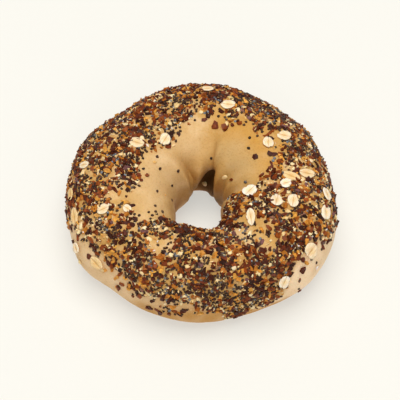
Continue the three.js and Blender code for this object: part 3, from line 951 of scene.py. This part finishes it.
def placeStray(form, tones, shape, kind, turn, across, tone=None):
    low, high = kind["Smallest"], kind["Largest"]
    size = [draw.uniform(low[axis], high[axis]) for axis in range(3)]
    pose = poseOnDough(turn, across, draw.uniform(0, kind["Lowest"]), draw.uniform(0, 2 * math.pi))
    start = len(form.verts)
    form.from_mesh(shape)
    form.verts.ensure_lookup_table()
    tone = draw.uniform(0, 1) if tone is None else tone
    for vert in form.verts[start:]:
        vert.co = pose @ Vector([vert.co[axis] * size[axis] for axis in range(3)])
        vert[tones] = tone


def scatter(name, kind, shapes, crust, tree):
    material = makeTopping(kind["look"])
    carrier = objectFrom(crust.data.copy(), name)
    modifier = carrier.modifiers.new("scatter", "NODES")
    modifier.node_group = tree
    setInputs(modifier, {**kind, "Shapes": shapeCollection(name + "Shapes", shapes), "Material": material})
    mesh = bakedCopy(carrier, name)
    carrier.modifiers.remove(modifier)
    form = bmesh.new()
    form.from_mesh(mesh)
    tones = form.verts.layers.float["tone"]
    for count, stray in enumerate(kind["strays"]):
        placeStray(form, tones, shapes[count % len(shapes)], kind, *stray)
    for face in form.faces:
        face.smooth = kind["Smooth"]
    form.to_mesh(mesh)
    form.free()
    mesh.materials.clear()
    mesh.materials.append(material)
    carrier.data = mesh
    print(name, len(mesh.polygons), "faces")
    return carrier


flakeForm = {  # with the sizes in the oats' dictionary
    "segments": 26,
    "rings": 5,
    "cup": 0.55,  # mm that the middle dips
    "grooveDepth": 0.28,  # mm
    "grooveWidth": 0.16,  # of half the width
    "rimShare": 0.16,  # of the thickness that is left at the rim
    "unevenness": 0.08,
    "cracks": 3,
    "crackDepth": 0.16,
    "crackWidth": 0.16,  # radians
    "lean": 0.12,  # radians either way
    "propLift": 0.35,  # of the width, for a flake on edge
}


def addFlake(points, faces, places, tones, flake):  # a thin cupped oval with the grain's crease
    turn, across, length, width, spin, toasted, propped = flake
    segments, rings, most = flakeForm["segments"], flakeForm["rings"], flakeForm["lean"]
    slope = math.radians(propped) * math.copysign(1, across - 90)
    lean = (slope + draw.uniform(-most, most), draw.uniform(-most, most))
    lift = oats["lift"] + flakeForm["propLift"] * width * abs(math.sin(slope))
    pose = poseOnDough(turn, across, lift * mm, math.radians(spin), lean)
    phase = draw.uniform(0, 2 * math.pi, 3)
    start = len(points)
    around = np.arange(segments) / segments * 2 * math.pi
    waves = sum(np.sin((k + 2) * around + phase[k]) / (k + 1) for k in range(3))
    ragged = 1 + flakeForm["unevenness"] * waves
    for centre in draw.uniform(0, 2 * math.pi, flakeForm["cracks"]):
        offset = np.angle(np.exp(1j * (around - centre))) / flakeForm["crackWidth"]
        ragged = ragged - flakeForm["crackDepth"] * np.exp(-offset ** 2)
    flat = [(0.0, 0.0)] + [
        (ring / rings * ragged[k] * math.cos(around[k]), ring / rings * ragged[k] * math.sin(around[k]))
        for ring in range(1, rings + 1) for k in range(segments)
    ]
    for side in (1, -1):
        for u, v in flat:
            out = math.hypot(u, v)
            thick = 0.5 * oats["thickness"] * max(flakeForm["rimShare"], 1 - out ** 3)
            acrossGroove = math.exp(-((v / flakeForm["grooveWidth"]) ** 2))
            groove = flakeForm["grooveDepth"] * acrossGroove * max(0, 1 - u * u) if side > 0 else 0
            height = flakeForm["cup"] * (out ** 2 - 0.5) * 0.5 + side * thick - groove
            points.append(pose @ Vector((u * length / 2 * mm, v * width / 2 * mm, height * mm)))
            places.append((u, v, out))
            tones.append(toasted)
    under = start + len(flat)
    for base, isTop in ((start, True), (under, False)):
        for k in range(segments):
            following = (k + 1) % segments
            rows = [(base, base + 1 + k, base + 1 + following)]
            for ring in range(rings - 1):
                inner, outer = base + 1 + ring * segments, base + 1 + (ring + 1) * segments
                rows.append((inner + k, outer + k, outer + following, inner + following))
            faces.extend(rows if isTop else [row[::-1] for row in rows])
    rim, rimUnder = start + 1 + (rings - 1) * segments, under + 1 + (rings - 1) * segments
    for k in range(segments):
        following = (k + 1) % segments
        faces.append((rim + k, rimUnder + k, rimUnder + following, rim + following))


def makeOats():
    points, faces, places, tones = [], [], [], []
    for flake in flakes:
        addFlake(points, faces, places, tones, flake)
    mesh = meshFrom("oatFlakes", points, faces)
    addAttribute(mesh, "tone", tones)
    for axis, name in enumerate(("alongFlake", "acrossFlake", "outFlake")):
        addAttribute(mesh, name, [place[axis] for place in places])
    mesh.materials.append(makeOatMaterial())
    mesh.polygons.foreach_set("use_smooth", [True] * len(mesh.polygons))
    return objectFrom(mesh, "oatFlakes")


oatLook = {
    "heart": "#ecd29c", "middle": "#f2e2c2", "rim": "#faf2e2", "toasted": "#efd6a8",
    "crease": "#b98548", "creaseShare": 0.4, "fibre": "#dcc194", "fibreShare": 0.45,
    "fibreSteps": (1.3, 7.0, 40.0),  # along a flake, across it and from flake to flake
    "fibreDepth": 0.1,  # mm
}


def makeOatMaterial():
    # Rolled oat groats, toasted in the oven: floury pale rim, partly a painted highlight on the edge,
    # yellow-tan heart, brown line along the crease.
    material, tree, surface = newMaterial("toastedRolledOat", {
        "Subsurface Weight": 0.15, "Subsurface Radius": (1.0, 0.6, 0.3), "Subsurface Scale": 0.001,
        "Roughness": 0.7, "Specular IOR Level": 0.3,
    })
    reads = {
        name: addNode(tree, "ShaderNodeAttribute", {"attribute_name": name}).outputs["Fac"]
        for name in ("tone", "alongFlake", "acrossFlake", "outFlake")
    }
    # pale towards the rim: partly the floury edge, partly a painted highlight along each flake's edge
    plain = addNode(tree, "ShaderNodeValToRGB", {}, {"Fac": reads["outFlake"]}, [
        (0.0, oatLook["heart"]), (0.4, oatLook["middle"]), (0.9, oatLook["rim"]),
    ])
    toasted = addNode(tree, "ShaderNodeMix", multiply, {
        "Factor": 1.0, colourA: plain, colourB: linearColour(oatLook["toasted"]),
    }).outputs[mixed]
    colour = addNode(tree, "ShaderNodeMix", mix, {
        "Factor": reads["tone"], colourA: plain, colourB: toasted,
    }).outputs[mixed]
    offLine = addNode(tree, "ShaderNodeMath", {"operation": "ABSOLUTE"}, {0: reads["acrossFlake"]})
    line = addNode(tree, "ShaderNodeValToRGB", {}, {"Fac": offLine}, [
        (0.03, oatLook["crease"]), (0.14, "#ffffff"),
    ])
    place = addNode(tree, "ShaderNodeCombineXYZ", {}, {
        "X": reads["alongFlake"], "Y": reads["acrossFlake"], "Z": reads["tone"],
    })
    drawnOut = addNode(tree, "ShaderNodeVectorMath", {"operation": "MULTIPLY"}, {
        0: place, 1: oatLook["fibreSteps"],
    })
    fibre = addNode(tree, "ShaderNodeTexNoise", {}, {
        "Vector": drawnOut, "Scale": 1.0, "Detail": 3.0,
    }).outputs["Fac"]
    streaks = addNode(tree, "ShaderNodeValToRGB", {}, {"Fac": fibre}, [
        (0.35, oatLook["fibre"]), (0.6, "#ffffff"),
    ])
    for share, shade in ((oatLook["creaseShare"], line), (oatLook["fibreShare"], streaks)):
        colour = addNode(tree, "ShaderNodeMix", multiply, {
            "Factor": share, colourA: colour, colourB: shade,
        }).outputs[mixed]
    bump = addNode(tree, "ShaderNodeBump", {}, {"Height": fibre, "Distance": oatLook["fibreDepth"] * mm})
    feed(tree, surface, {"Base Color": colour, "Normal": bump})
    return material


crust = makeCrust()
print("crust made")

scatterOnDough = scatterTree()
poppySeeds = scatter("poppySeeds", poppy, [ballMesh("poppySeed", poppy, kidney)], crust, scatterOnDough)
chips = [chipMesh("onionChip" + str(count), corners) for count, corners in enumerate(onion["corners"])]
onionChips = scatter("onionChips", onion, chips, crust, scatterOnDough)
sesameSeeds = scatter("sesameSeeds", sesame, [ballMesh("sesameSeed", sesame, drop)], crust, scatterOnDough)
granules = [granuleMesh("garlic" + str(count), corners) for count, corners in enumerate(garlic["corners"])]
garlicGranules = scatter("garlicGranules", garlic, granules, crust, scatterOnDough)
oatFlakes = makeOats()
for piece in (crust, poppySeeds, onionChips, sesameSeeds, garlicGranules, oatFlakes):
    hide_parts("bagel")
    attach(piece, bodyName)
print("topping made")
